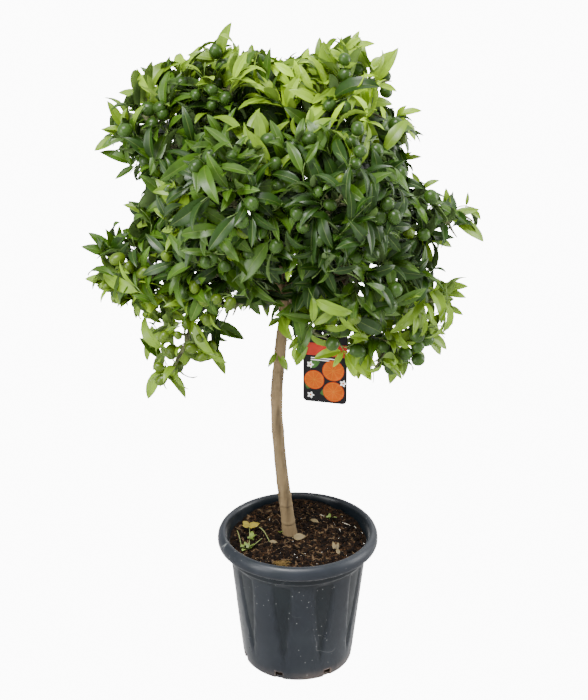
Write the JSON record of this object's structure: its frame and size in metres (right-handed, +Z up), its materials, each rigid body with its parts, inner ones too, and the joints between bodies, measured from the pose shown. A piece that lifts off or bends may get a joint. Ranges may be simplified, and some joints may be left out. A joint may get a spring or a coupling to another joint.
{
  "type": "potted calamondin orange tree",
  "caption": "Small citrus tree on one clear stem, with a round head of glossy leaves and green fruit, a dark round nursery pot of soil and a hanging picture label.",
  "frame": {"origin": "centre of the pot's flat underside", "axes": "+Z up along the tree's height, -Y towards the front of the tree, +X to its right as seen from the front"},
  "size_m": [0.6469, 0.5205, 1.1143],
  "materials": {
    "pot": "dark slate moulded plastic, satin, dusty at the foot",
    "soil": "dark crumbly peat compost, moist",
    "bark": "smooth grey-brown bark with fine cracks and leaf scars",
    "twig": "young green-brown wood",
    "leaf": "glossy evergreen leaf, upper side",
    "leaf_under": "paler matt underside and midrib of the leaf",
    "fruit": "unripe green peel, finely pitted, satin",
    "perlite": "white mineral specks in the compost",
    "litter": "dry fallen leaves and bits of stalk",
    "weed": "soft young seedling leaves",
    "tag": "dark glossy printed label",
    "tag_print": "orange, green and white print on the label"
  },
  "bodies": {
    "root": {"pot": "pot", "soil": "soil", "trunk": "bark", "bough_top_mid": "bark", "bough_top_left": "bark", "bough_top_right": "bark", "bough_back_top": "bark", "bough_right_mid": "bark", "bough_left_mid": "bark", "bough_left_low": "bark", "bough_left_hang": "bark", "bough_front_left": "bark", "bough_front_right": "bark", "bough_under_left": "bark", "bough_low_mid": "bark", "bough_left_inner": "bark", "bough_right_inner": "bark", "bough_right_low": "bark", "bough_right_arm": "bark", "bough_low_right": "bark", "bough_back_left": "bark", "bough_back_right": "bark", "bough_back_low": "bark", "leaves_top_mid": "leaf", "leaves_top_left": "leaf", "leaves_top_right": "leaf", "leaves_back_top": "leaf", "leaves_right_mid": "leaf", "leaves_left_mid": "leaf", "leaves_left_low": "leaf", "leaves_left_hang": "leaf", "leaves_front_left": "leaf", "leaves_front_right": "leaf", "leaves_under_left": "leaf", "leaves_low_mid": "leaf", "leaves_left_inner": "leaf", "leaves_right_inner": "leaf", "leaves_right_low": "leaf", "leaves_right_arm": "leaf", "leaves_low_right": "leaf", "leaves_back_left": "leaf", "leaves_back_right": "leaf", "leaves_back_low": "leaf", "tag_card": "tag", "tag_strap": "tag"}
  },
  "joints": []
}
